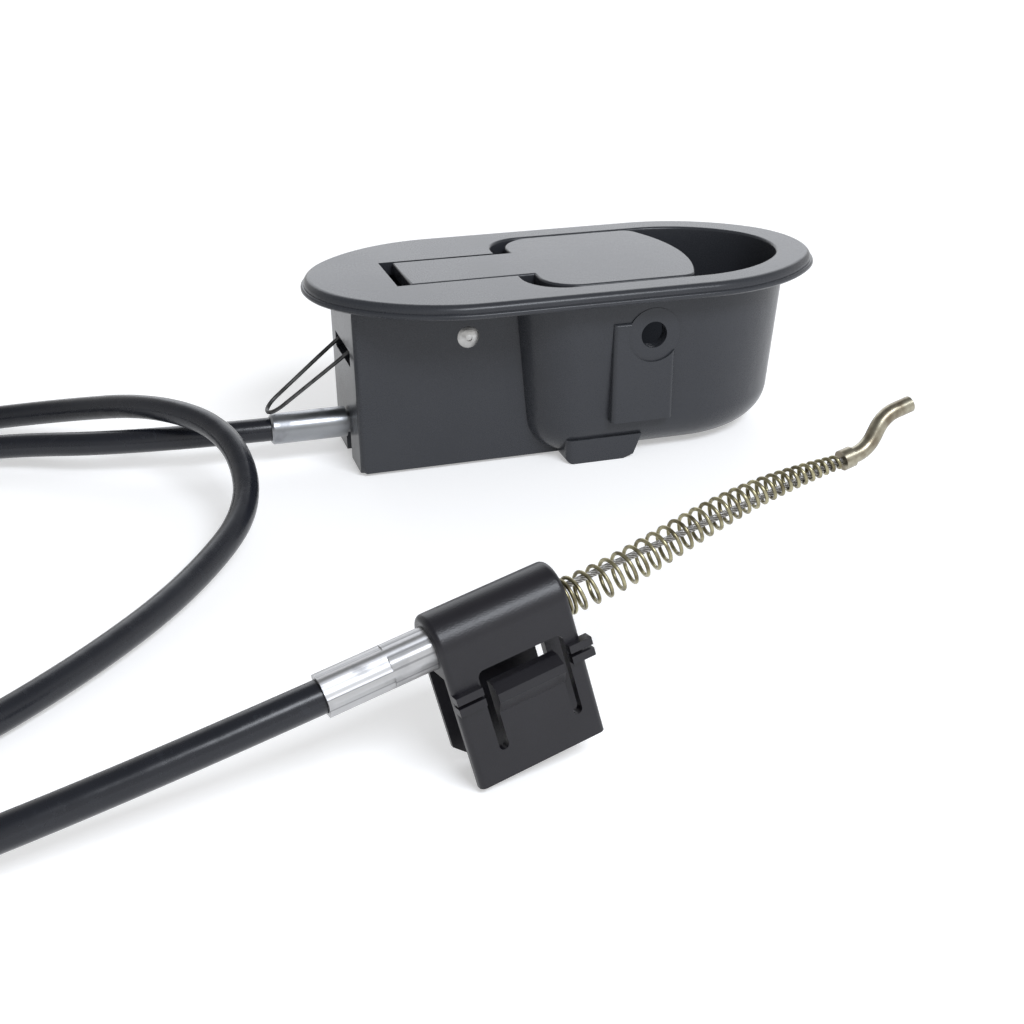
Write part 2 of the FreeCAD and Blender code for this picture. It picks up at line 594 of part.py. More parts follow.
def tongue_cut():
    """Window above the snap tongues and the round-ended slots beside them, through both legs."""
    left, right = SLOT_OUTER_LEFT, SLOT_OUTER_RIGHT - TONGUE_SLOT
    y = CLIP_TOP_R + 1
    root = -TONGUE_DROP - TONGUE_LENGTH
    end_r = TONGUE_SLOT / 2
    top = TONGUE_WINDOW - TONGUE_DROP
    cut = block(left, SLOT_OUTER_RIGHT, -y, y, -TONGUE_DROP, top)
    rims = [e for e in cut.Edges if e.BoundBox.YLength > y and e.BoundBox.ZMin > top - 0.01]
    cut = cut.makeFillet(TONGUE_WINDOW_R, rims)
    for x in (left, right):
        slot = block(x, x + TONGUE_SLOT, -y, y, root + end_r, 1 - TONGUE_DROP)
        slot_end = rod(end_r, V(x + end_r, -y, root + end_r), V(x + end_r, y, root + end_r))
        cut = cut.multiFuse([slot, slot_end])
    return cut


def tongue_lip(side):
    """Ramp on the upper end of one snap tongue."""
    x0 = TONGUE_MID - TONGUE_WIDTH / 2
    face, root = side * CLIP_TOP_R, side * (CLIP_TOP_R - CLIP_WALL / 2)
    peak = face + side * TONGUE_LIP
    top, low = -TONGUE_DROP, -TONGUE_DROP - TONGUE_LIP_HEIGHT
    wedge = Part.makePolygon([
        V(x0, root, top), V(x0, face, top), V(x0, peak, top - TONGUE_LIP_PEAK),
        V(x0, peak, top - TONGUE_LIP_PEAK - TONGUE_LIP_FRONT),
        V(x0, face, low), V(x0, root, low), V(x0, root, top)])
    return Part.Face(wedge).extrude(V(TONGUE_WIDTH, 0, 0))


def clip_ribs():
    """Small bars on the front leg at both sides of the tongue, the right ones past the clip's end."""
    face = -CLIP_TOP_R
    spans = [(0, SLOT_OUTER_LEFT - RIB_SETBACK), (SLOT_OUTER_RIGHT + RIB_SETBACK, CLIP_LENGTH + RIB_OVERHANG)]
    tops = [-RIB_DROP - k * RIB_PITCH for k in range(RIB_BARS)]
    return [block(x0, x1, face - RIB_PROUD, face + CLIP_WALL / 2, top - RIB_HEIGHT, top)
            for x0, x1 in spans for top in tops]


def rear_leg_cut():
    """Slanted corner at the foot of the rear leg."""
    start = V(0, CLIP_TOP_R - CLIP_WALL - 1, -CLIP_LEG)
    corner = [start, start + V(REAR_LEG_CUT, 0, 0), start + V(0, 0, REAR_LEG_CUT), start]
    return Part.Face(Part.makePolygon(corner)).extrude(V(0, CLIP_WALL + 2, 0))


def anchor_clip():
    """Nylon saddle clip that anchors the sheath to the recliner's bracket."""
    body = clip_profile().extrude(V(CLIP_LENGTH, 0, 0))
    crown = [e for e in body.Edges if e.BoundBox.XLength < 0.01 and e.BoundBox.ZMax > CLIP_TOP_R - 0.01]
    body = body.makeFillet(CLIP_END_R, crown).cut(tongue_cut()).cut(rear_leg_cut())
    body = body.multiFuse([tongue_lip(-1), tongue_lip(1)] + clip_ribs())
    bore = rod(CLIP_FERRULE_D / 2 + CLIP_FIT, V(-1, 0, 0), V(CLIP_LENGTH - CLIP_STOP, 0, 0))
    wire = rod(CORE_D / 2 + CORE_CLEARANCE, V(0, 0, 0), V(CLIP_LENGTH + 1, 0, 0))
    return body.cut(bore).cut(wire).removeSplitter()


def clip_ferrule():
    """Ferrule in the clip's bore, crimped in flats over the sheath."""
    r = CLIP_FERRULE_D / 2
    tube = rod(r, V(-CLIP_FERRULE_OUT, 0, 0), V(CLIP_LENGTH - CLIP_STOP, 0, 0))
    flats = []
    for k in range(CRIMP_SIDES):
        flat = block(-CLIP_FERRULE_OUT - 1, CRIMP_LENGTH - CLIP_FERRULE_OUT, -r, r, r - CRIMP_FLAT, r + 1)
        flat.rotate(V(0, 0, 0), V(1, 0, 0), 360 * k / CRIMP_SIDES)
        flats.append(flat)
    socket = rod(SHEATH_D / 2 + SOCKET_FIT, V(-CLIP_FERRULE_OUT - 1, 0, 0),
                 V(CLIP_FERRULE_SOCKET - CLIP_FERRULE_OUT, 0, 0))
    bore = rod(CORE_D / 2 + CORE_CLEARANCE, V(-CLIP_FERRULE_OUT, 0, 0), V(CLIP_LENGTH, 0, 0))
    return tube.cut(flats[0].multiFuse(flats[1:])).cut(socket).cut(bore)


def cone_spring():
    """Tapered compression spring between the clip's end and the hook."""
    start = CLIP_LENGTH + CONE_WIRE_D / 2 + CONE_SEAT_GAP
    length = CONE_LENGTH - CONE_WIRE_D - 2 * CONE_SEAT_GAP
    free_length = length - CONE_DEAD_TURNS * CONE_DEAD_PITCH
    points = []
    for k in range(CONE_TURNS * CONE_SEGMENTS + 1):
        turn, angle = k / CONE_SEGMENTS, 2 * math.pi * k / CONE_SEGMENTS
        dead = min(turn, CONE_DEAD_TURNS)
        free = (turn - dead) / (CONE_TURNS - CONE_DEAD_TURNS)
        x = dead * CONE_DEAD_PITCH + free_length * (CONE_OPEN_SHARE * free + (1 - CONE_OPEN_SHARE) * free ** 2)
        taper = (x / length) ** CONE_TAPER_POWER
        r = (CONE_BIG_D + (CONE_SMALL_D - CONE_BIG_D) * taper - CONE_WIRE_D) / 2
        points.append(V(start + x, r * math.cos(angle), r * math.sin(angle)))
    return wire_tube(points, CONE_WIRE_D, WIRE_SIDES)


def tip_core():
    """Steel core from the clip's ferrule through the cone spring to the hook."""
    sheath_end = CLIP_FERRULE_SOCKET - CLIP_FERRULE_OUT
    return rod(CORE_D / 2, V(sheath_end + 1, 0, 0), V(CLIP_LENGTH + CONE_LENGTH, 0, 0))


def hook_tip():
    """S-shaped hook crimped on the end of the core."""
    x = CLIP_LENGTH + CONE_LENGTH
    x1 = x + HOOK_CRIMP_LENGTH + HOOK_SHANK
    points = [V(x, 0, 0), V(x1, 0, 0), V(x1 + HOOK_SLANT, 0, HOOK_OFFSET),
              V(x1 + HOOK_SLANT + HOOK_POINT, 0, HOOK_OFFSET)]
    path, _ = rounded_path(points)
    ring = Part.Wire(Part.makeCircle(HOOK_D / 2, points[0], V(1, 0, 0)))
    shank = path.makePipeShell([ring], True, False)
    return shank.fuse(rod(HOOK_CRIMP_D / 2, V(x, 0, 0), V(x + HOOK_CRIMP_LENGTH, 0, 0))).removeSplitter()


def at_clip(shape):
    """Piece built along the clip's own axis, moved to where the clip lies."""
    shape.Placement = clip_place().multiply(shape.Placement)
    return shape


def main():
    """Build every piece, centre it and write it to its own file."""
    os.makedirs("parts", exist_ok=True)
    pieces = {
        "housing": housing(),
        "paddle": paddle(),
        "pivot_pin": pivot_pin(),
        "return_spring": return_spring(),
        "handle_ferrule": handle_ferrule(),
        "cable_nipple": cable_nipple(),
        "pull_core": pull_core(),
        "cable_sheath": cable_sheath(),
        "clip_ferrule": at_clip(clip_ferrule()),
        "anchor_clip": at_clip(anchor_clip()),
        "cone_spring": at_clip(cone_spring()),
        "tip_core": at_clip(tip_core()),
        "hook_tip": at_clip(hook_tip()),
    }
    for name, shape in pieces.items():
        shape.translate(frame_shift())
        shape.exportStep(f"parts/{name}.step")
        print(name, shape.ShapeType, len(shape.Solids), shape.isValid(), round(shape.Volume, 1))


main()
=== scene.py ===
"""Looks of a flush oval recliner handle with its pull cable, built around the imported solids."""

import json
import logging
import math
from dataclasses import dataclass, field
from enum import Enum

import bmesh
import bpy
from mathutils import Matrix, Vector
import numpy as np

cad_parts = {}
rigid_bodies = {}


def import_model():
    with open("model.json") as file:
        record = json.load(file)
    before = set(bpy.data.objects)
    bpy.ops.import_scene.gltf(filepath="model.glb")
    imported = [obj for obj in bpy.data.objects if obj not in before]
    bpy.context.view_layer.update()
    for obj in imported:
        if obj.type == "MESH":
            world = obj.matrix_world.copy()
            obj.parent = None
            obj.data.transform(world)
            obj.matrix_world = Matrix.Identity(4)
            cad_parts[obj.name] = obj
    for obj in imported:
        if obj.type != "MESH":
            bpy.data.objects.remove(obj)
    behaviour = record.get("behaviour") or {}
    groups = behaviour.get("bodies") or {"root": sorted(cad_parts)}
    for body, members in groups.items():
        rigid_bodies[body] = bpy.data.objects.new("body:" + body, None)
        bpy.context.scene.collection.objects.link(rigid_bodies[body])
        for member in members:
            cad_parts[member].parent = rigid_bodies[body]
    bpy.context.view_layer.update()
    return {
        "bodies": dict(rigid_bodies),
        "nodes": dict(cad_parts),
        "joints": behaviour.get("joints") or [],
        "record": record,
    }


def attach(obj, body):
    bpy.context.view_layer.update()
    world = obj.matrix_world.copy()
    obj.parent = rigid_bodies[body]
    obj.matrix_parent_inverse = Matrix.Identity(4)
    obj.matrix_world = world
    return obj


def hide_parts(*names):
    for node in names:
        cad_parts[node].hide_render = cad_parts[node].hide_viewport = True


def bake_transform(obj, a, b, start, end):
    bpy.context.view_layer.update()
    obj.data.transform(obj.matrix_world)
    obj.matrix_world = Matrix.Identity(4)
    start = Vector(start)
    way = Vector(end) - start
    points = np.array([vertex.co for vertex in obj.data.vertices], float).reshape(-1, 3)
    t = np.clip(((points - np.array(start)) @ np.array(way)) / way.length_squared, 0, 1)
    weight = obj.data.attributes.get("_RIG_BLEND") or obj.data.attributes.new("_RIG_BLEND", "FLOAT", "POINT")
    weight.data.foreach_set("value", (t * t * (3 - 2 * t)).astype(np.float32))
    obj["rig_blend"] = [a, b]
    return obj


LOG = logging.getLogger("recliner_handle")

Colour = tuple[float, float, float]
Point = tuple[float, float, float]
Range = tuple[float, float]

MM = 0.001
WELD_DISTANCE = 0.000004
SLIVER_LENGTH = 0.000002
CUT_DISTANCE = 0.0000001
SENSOR_WIDTH = 36.0
WORLD_AXES: Point = (0.0, 0.0, 0.0)


class Body(Enum):
    """The bodies that pieces ride on."""

    BASE = "base"
    LEVER = "lever"
    PULL_WIRE = "pull_wire"
    TIP = "tip"


class Slot(Enum):
    """The record's material slots."""

    SATIN_BLACK = "satin_black"
    BRIGHT_STEEL = "bright_steel"
    SPRING_WIRE = "spring_wire"
    ZINC = "zinc"
    CORE_WIRE = "core_wire"
    SHEATH_PLASTIC = "sheath_plastic"
    BLACK_NYLON = "black_nylon"
    PLATED_WIRE = "plated_wire"
    HOOK_METAL = "hook_metal"


class Signal:
    """A number socket of a shader that takes part in Python expressions."""

    def __init__(self, board: "Graph", socket: bpy.types.NodeSocket) -> None:
        """Keeps the socket and the board that it is on."""
        self.board = board
        self.socket = socket

    def _math(self, operation: str, first: "Signal | float", second: "Signal | float") -> "Signal":
        """Adds one Math node.

        Args:
            operation: The Math node's operation.
            first: Its first value or link.
            second: Its second value or link.

        Returns:
            The node's result.
        """
        made = self.board.node("ShaderNodeMath", {"operation": operation}, {0: first, 1: second})
        return Signal(self.board, made.outputs[0])

    def __add__(self, other: "Signal | float") -> "Signal":
        """Sum."""
        return self._math("ADD", self, other)

    def __radd__(self, other: float) -> "Signal":
        """Sum with a number on the left."""
        return self._math("ADD", other, self)

    def __sub__(self, other: "Signal | float") -> "Signal":
        """Difference."""
        return self._math("SUBTRACT", self, other)

    def __rsub__(self, other: float) -> "Signal":
        """Difference from a number on the left."""
        return self._math("SUBTRACT", other, self)

    def __mul__(self, other: "Signal | float") -> "Signal":
        """Product."""
        return self._math("MULTIPLY", self, other)

    def __rmul__(self, other: float) -> "Signal":
        """Product with a number on the left."""
        return self._math("MULTIPLY", other, self)

    def angle_from(self, other: "Signal") -> "Signal":
        """Angle in radians of the point whose other coordinate is given."""
        return self._math("ARCTAN2", self, other)

    def sine(self) -> "Signal":
        """Sine of an angle in radians."""
        return self._math("SINE", self, 0.0)


class Graph:
    """A node tree that makes and links its own nodes."""

    def __init__(self, tree: bpy.types.NodeTree) -> None:
        """Keeps the tree and empties it."""
        self.tree = tree
        self.tree.nodes.clear()

    def node(self, kind: str, settings: dict | None = None,
             sockets: dict | None = None) -> bpy.types.Node:
        """Adds a node.

        Args:
            kind: The node's type.
            settings: Its own properties, set first.
            sockets: Values or links of its inputs, by name or number.

        Returns:
            The new node.
        """
        made = self.tree.nodes.new(kind)
        for key, value in (settings or {}).items():
            setattr(made, key, value)
        for key, value in (sockets or {}).items():
            self.feed(made.inputs[key], value)
        return made

    def feed(self, socket: bpy.types.NodeSocket, value: object) -> None:
        """Links a socket to a signal or an output, or sets its value.

        Args:
            socket: The input.
            value: A Signal, an output socket or a plain value.
        """
        if isinstance(value, Signal):
            self.tree.links.new(value.socket, socket)
        elif isinstance(value, bpy.types.NodeSocket):
            self.tree.links.new(value, socket)
        else:
            socket.default_value = value

    def band(self, value: Signal, span: Range, to_low: float = 0.0, to_high: float = 1.0) -> Signal:
        """Maps a value from one range to another, smoothly and clamped.

        Args:
            value: What is mapped.
            span: Start and end of its range.
            to_low: Result at the start.
            to_high: Result at the end.

        Returns:
            The mapped value.
        """
        made = self.node("ShaderNodeMapRange", {"interpolation_type": "SMOOTHSTEP"},
                         {0: value, 1: span[0], 2: span[1], 3: to_low, 4: to_high})
        return Signal(self, made.outputs[0])


class Board(Graph):
    """One material's node tree, with its shader and its object coordinates."""

    def __init__(self, name: str) -> None:
        """Starts an empty material with a principled shader.

        Args:
            name: The material's name.
        """
        self.material = bpy.data.materials.new(name)
        self.material.use_nodes = True
        super().__init__(self.material.node_tree)
        self.shader = self.node("ShaderNodeBsdfPrincipled")
        out = self.node("ShaderNodeOutputMaterial")
        self.tree.links.new(self.shader.outputs["BSDF"], out.inputs["Surface"])
        self.place = self.node("ShaderNodeTexCoord").outputs["Object"]

    def set(self, **values: object) -> None:
        """Sets or links the shader's inputs, named with underscores for spaces."""
        for key, value in values.items():
            self.feed(self.shader.inputs[key.replace("_", " ")], value)

    def stretched(self, scale: Point, turn: Point = WORLD_AXES,
                  origin: Point = (0.0, 0.0, 0.0)) -> bpy.types.NodeSocket:
        """Object coordinates, moved, turned and then stretched.

        Args:
            scale: Factor along each axis.
            turn: Euler angles in radians.
            origin: The point that they are counted from, in metres.

        Returns:
            The mapped vector.
        """
        turned = self.node("ShaderNodeMapping", {"vector_type": "TEXTURE"},
                           {"Vector": self.place, "Location": origin, "Rotation": turn})
        made = self.node("ShaderNodeMapping", None, {"Vector": turned.outputs[0], "Scale": scale})
        return made.outputs[0]

    def noise(self, scale: float, detail: float,
              where: bpy.types.NodeSocket | None = None) -> Signal:
        """Noise in object space.

        Args:
            scale: Waves per metre.
            detail: Octaves.
            where: Coordinates, or the plain object ones.

        Returns:
            The noise, from 0 to 1.
        """
        made = self.node("ShaderNodeTexNoise", None,
                         {"Vector": where or self.place, "Scale": scale, "Detail": detail})
        return Signal(self, made.outputs[0])

    def tint(self, share: Signal, dark: Colour, light: Colour) -> bpy.types.NodeSocket:
        """Mixes two colours.

        Args:
            share: 0 for the first, 1 for the second.
            dark: First colour.
            light: Second colour.

        Returns:
            The mixed colour.
        """
        made = self.node("ShaderNodeMix", {"data_type": "RGBA"},
                         {0: share, 6: (*dark, 1.0), 7: (*light, 1.0)})
        return made.outputs[2]

    def bump(self, height: Signal, depth: float) -> bpy.types.NodeSocket:
        """Surface relief.

        Args:
            height: Height signal.
            depth: Metres per unit of height.

        Returns:
            The bent normal.
        """
        made = self.node("ShaderNodeBump", None, {"Strength": 1.0, "Distance": depth, "Height": height})
        return made.outputs[0]


@dataclass(frozen=True)
class SatinPaint:
    """Satin black paint over a casting, with a fine orange peel."""

    name: str = "satin_black_paint"
    dark: Colour = (0.027, 0.029, 0.034)
    light: Colour = (0.040, 0.042, 0.048)
    gloss: float = 0.22
    shine: float = 0.30
    patch_scale: float = 45.0
    peel_scale: float = 900.0
    peel_depth: float = 0.000016
    grain_scale: float = 5200.0
    grain_share: float = 0.15
    speck_scale: float = 2600.0
    speck_span: Range = (0.66, 0.76)
    patch_share: float = 0.7
    speck_share: float = 0.3
    patch_haze: float = 0.06
    grain_haze: float = 0.05

    def make(self) -> bpy.types.Material:
        """Builds the material.

        Returns:
            The material.
        """
        board = Board(self.name)
        patches = board.noise(self.patch_scale, detail=3.0)
        peel = board.noise(self.peel_scale, detail=2.0)
        grain = board.noise(self.grain_scale, detail=1.0)
        specks = board.band(board.noise(self.speck_scale, detail=1.0), self.speck_span)
        blotches = patches * self.patch_share + specks * self.speck_share
        board.set(
            Base_Color=board.tint(blotches, self.dark, self.light),
            Roughness=self.gloss + patches * self.patch_haze + grain * self.grain_haze,
            Normal=board.bump(peel + grain * self.grain_share, self.peel_depth),
            Specular_IOR_Level=self.shine,
        )
        return board.material


@dataclass(frozen=True)
class TurnedZinc:
    """Bright zinc with fine turning lines round an axis and, where it is crimped, pleats along it whose
    creases are darkened with painted shade.
    """

    name: str
    turn: Point
    tone: Colour
    deep: Colour
    gloss: float
    origin: Point = (0.0, 0.0, 0.0)
    pleats: int = 0
    pleat_depth: float = 0.00007
    # Where the pleat wave dips, and how far those creases are darkened towards the deep tone as painted
    # shade.
    crease_shade_span: Range = (-0.98, -0.80)
    crease_shade_share: float = 0.75
    ring_scale: Point = (5200.0, 160.0, 160.0)
    cloud_scale: float = 320.0
    stain_scale: float = 150.0
    stain_span: Range = (0.52, 0.72)
    stain_share: float = 0.7
    cloud_share: float = 0.3
    ring_haze: float = 0.10
    stain_haze: float = 0.14
    line_depth: float = 0.000006
    cloud_relief: float = 0.6

    def crimp(self, board: Board) -> Signal:
        """Pleats that run along the axis, as a crimping tool leaves them.

        Args:
            board: The material.

        Returns:
            Waves round the axis, from -1 to 1.
        """
        where = board.stretched((1.0, 1.0, 1.0), self.turn, self.origin)
        parts = board.node("ShaderNodeSeparateXYZ", None, {0: where})
        angle = Signal(board, parts.outputs["Y"]).angle_from(Signal(board, parts.outputs["Z"]))
        return (angle * float(self.pleats)).sine()

    def make(self) -> bpy.types.Material:
        """Builds the material.

        Returns:
            The material.
        """
        board = Board(self.name)
        rings = board.noise(1.0, detail=2.0, where=board.stretched(self.ring_scale, self.turn))
        clouds = board.noise(self.cloud_scale, detail=3.0)
        stains = board.band(board.noise(self.stain_scale, detail=4.0), self.stain_span)
        # Stains and clouds are the zinc's own tone; on a crimped ferrule painted shade in the creases is
        # added below.
        stains_and_crease_shade = stains * self.stain_share + clouds * self.cloud_share
        relief = (rings + clouds * self.cloud_relief) * self.line_depth
        if self.pleats:
            pleats = self.crimp(board)
            # Painted shade: the creases between the crimp's pleats are darkened towards the deep tone.
            stains_and_crease_shade = stains_and_crease_shade + board.band(pleats, self.crease_shade_span, self.crease_shade_share, 0.0)
            relief = pleats * self.pleat_depth + relief
        board.set(
            Base_Color=board.tint(stains_and_crease_shade, self.tone, self.deep),
            Metallic=1.0,
            Roughness=self.gloss + rings * self.ring_haze + stains * self.stain_haze,
            Normal=board.bump(relief, 1.0),
        )
        return board.material


@dataclass(frozen=True)
class DrawnWire:
    """Drawn and plated wire with faint die lines and dull patches."""

    name: str
    tone: Colour
    deep: Colour
    gloss: float
    patch_scale: float = 420.0
    patch_span: Range = (0.35, 0.7)
    patch_haze: float = 0.14
    line_scale: float = 6500.0
    line_haze: float = 0.05
    line_depth: float = 0.000012

    def make(self) -> bpy.types.Material:
        """Builds the material.

        Returns:
            The material.
        """
        board = Board(self.name)
        patches = board.noise(self.patch_scale, detail=3.0)
        lines = board.noise(self.line_scale, detail=1.0)
        board.set(
            Base_Color=board.tint(board.band(patches, self.patch_span), self.tone, self.deep),
            Metallic=1.0,
            Roughness=self.gloss + patches * self.patch_haze + lines * self.line_haze,
            Normal=board.bump(lines, self.line_depth),
        )
        return board.material


@dataclass(frozen=True)
class StrandedCore:
    """Steel core whose strands twist round its axis, with painted shade darkening the grooves between
    strands.
    """

    name: str
    turn: Point
    pitch: float = 0.0011
    twist: float = 1.4
    # Painted shade: the darker colour of the grooves between strands; the crest colour is the steel's tone.
    valley_shade: Colour = (0.16, 0.15, 0.14)
    crest: Colour = (0.56, 0.55, 0.53)
    valley_haze: float = 0.46
    crest_shine: float = 0.14
    strand_depth: float = 0.00012

    def make(self) -> bpy.types.Material:
        """Builds the material.

        Returns:
            The material.
        """
        board = Board(self.name)
        across = self.twist / self.pitch
        where = board.stretched((1.0 / self.pitch, across, across), self.turn)
        lay = board.node("ShaderNodeTexWave", {"bands_direction": "DIAGONAL"},
                         {"Vector": where, "Scale": 1.0})
        ridge = Signal(board, lay.outputs["Fac"])
        board.set(
            # The colour runs from painted shade in the grooves to the steel's tone on the crests.
            Base_Color=board.tint(ridge, self.valley_shade, self.crest),
            Metallic=1.0,
            Roughness=self.valley_haze - ridge * self.crest_shine,
            Normal=board.bump(ridge, self.strand_depth),
        )
        return board.material


@dataclass(frozen=True)
class GlossSheath:
    """Glossy extruded black sheath with a slow waviness."""

    name: str = "gloss_black_sheath"
    dark: Colour = (0.007, 0.008, 0.012)
    light: Colour = (0.015, 0.017, 0.023)
    gloss: float = 0.24
    shine: float = 0.42
    wave_scale: float = 130.0
    wave_share: float = 0.6
    wave_haze: float = 0.06
    wave_depth: float = 0.00016
    scuff_scale: float = 700.0
    scuff_span: Range = (0.58, 0.74)
    scuff_share: float = 0.4
    scuff_haze: float = 0.07

    def make(self) -> bpy.types.Material:
        """Builds the material.

        Returns:
            The material.
        """
        board = Board(self.name)
        waves = board.noise(self.wave_scale, detail=2.0)
        scuffs = board.band(board.noise(self.scuff_scale, detail=4.0), self.scuff_span)
        wear = waves * self.wave_share + scuffs * self.scuff_share
        board.set(
            Base_Color=board.tint(wear, self.dark, self.light),
            Roughness=self.gloss + waves * self.wave_haze + scuffs * self.scuff_haze,
            Specular_IOR_Level=self.shine,
            Normal=board.bump(waves, self.wave_depth),
        )
        return board.material


@dataclass(frozen=True)
class MouldedNylon:
    """Semi-matt black nylon, finely sparked."""

    name: str = "moulded_black_nylon"
    dark: Colour = (0.006, 0.0055, 0.008)
    light: Colour = (0.012, 0.0115, 0.015)
    gloss: float = 0.28
    shine: float = 0.40
    spark_scale: float = 3600.0
    spark_haze: float = 0.06
    spark_depth: float = 0.00003
    flow_scale: float = 110.0
    flow_haze: float = 0.08
    flow_relief: float = 2.0

    def make(self) -> bpy.types.Material:
        """Builds the material.

        Returns:
            The material.
        """
        board = Board(self.name)
        spark = board.noise(self.spark_scale, detail=2.0)
        flow = board.noise(self.flow_scale, detail=3.0)
        board.set(
            Base_Color=board.tint(flow, self.dark, self.light),
            Roughness=self.gloss + flow * self.flow_haze + spark * self.spark_haze,
            Specular_IOR_Level=self.shine,
            Normal=board.bump(spark + flow * self.flow_relief, self.spark_depth),
        )
        return board.material


@dataclass(frozen=True)
class RivetSteel:
    """Bright rivet steel with a spun head."""

    name: str = "spun_rivet_steel"
    tone: Colour = (0.58, 0.58, 0.57)
    deep: Colour = (0.33, 0.32, 0.31)
    gloss: float = 0.22
    mark_scale: Point = (700.0, 6000.0, 700.0)
    mark_haze: float = 0.06
    mark_depth: float = 0.00003
    cloud_scale: float = 520.0
    cloud_haze: float = 0.16

    def make(self) -> bpy.types.Material:
        """Builds the material.

        Returns:
            The material.
        """
        board = Board(self.name)
        marks = board.noise(1.0, detail=2.0, where=board.stretched(self.mark_scale))
        cloud = board.noise(self.cloud_scale, detail=3.0)
        board.set(
            Base_Color=board.tint(cloud, self.tone, self.deep),
            Metallic=1.0,
            Roughness=self.gloss + cloud * self.cloud_haze + marks * self.mark_haze,
            Normal=board.bump(marks + cloud, self.mark_depth),
        )
        return board.material


@dataclass
class SolidCopy:
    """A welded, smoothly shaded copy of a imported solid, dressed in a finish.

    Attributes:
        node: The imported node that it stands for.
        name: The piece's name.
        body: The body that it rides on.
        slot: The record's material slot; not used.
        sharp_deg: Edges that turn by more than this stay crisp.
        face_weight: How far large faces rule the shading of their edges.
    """

    node: str
    name: str
    body: Body
    slot: Slot
    sharp_deg: float = 32.0
    face_weight: int = 60

    def build(self, frame: dict) -> bpy.types.Object:
        """Welds the copy.


        Returns:
            The new object.
        """
        work = bmesh.new()
        work.from_mesh(frame["nodes"][self.node].data)
        bmesh.ops.remove_doubles(work, verts=work.verts, dist=WELD_DISTANCE)
        bmesh.ops.dissolve_degenerate(work, edges=work.edges, dist=SLIVER_LENGTH)
        self.shape(work)
        mesh = bpy.data.meshes.new(self.name)
        work.to_mesh(mesh)
        work.free()
        for key in [a.name for a in mesh.attributes if a.name == "custom_normal"]:
            mesh.attributes.remove(mesh.attributes[key])
        mesh.shade_smooth()
        mesh.set_sharp_from_angle(angle=math.radians(self.sharp_deg))
        piece = bpy.data.objects.new(self.name, mesh)
        bpy.context.collection.objects.link(piece)
        weighted = piece.modifiers.new("even_normals", "WEIGHTED_NORMAL")
        weighted.keep_sharp = True
        weighted.weight = self.face_weight
        return piece

    def shape(self, work: bmesh.types.BMesh) -> None:
        """Leaves the welded copy as it is; a piece with its own detail says otherwise."""

    def dress(self, piece: bpy.types.Object, finish: bpy.types.Material) -> bpy.types.Object:
        """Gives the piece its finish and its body.

        Args:
            piece: The object.
            finish: Its material.

        Returns:
            The same object.
        """
        piece.data.materials.clear()
        piece.data.materials.append(finish)
        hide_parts(self.node)
        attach(piece, self.body.value)
        LOG.info("%s: %d faces on %s", piece.name, len(piece.data.polygons), self.body.value)
        return piece

    def place(self, frame: dict, finish: bpy.types.Material) -> bpy.types.Object:
        """Builds and dresses the piece."""
        return self.dress(self.build(frame), finish)


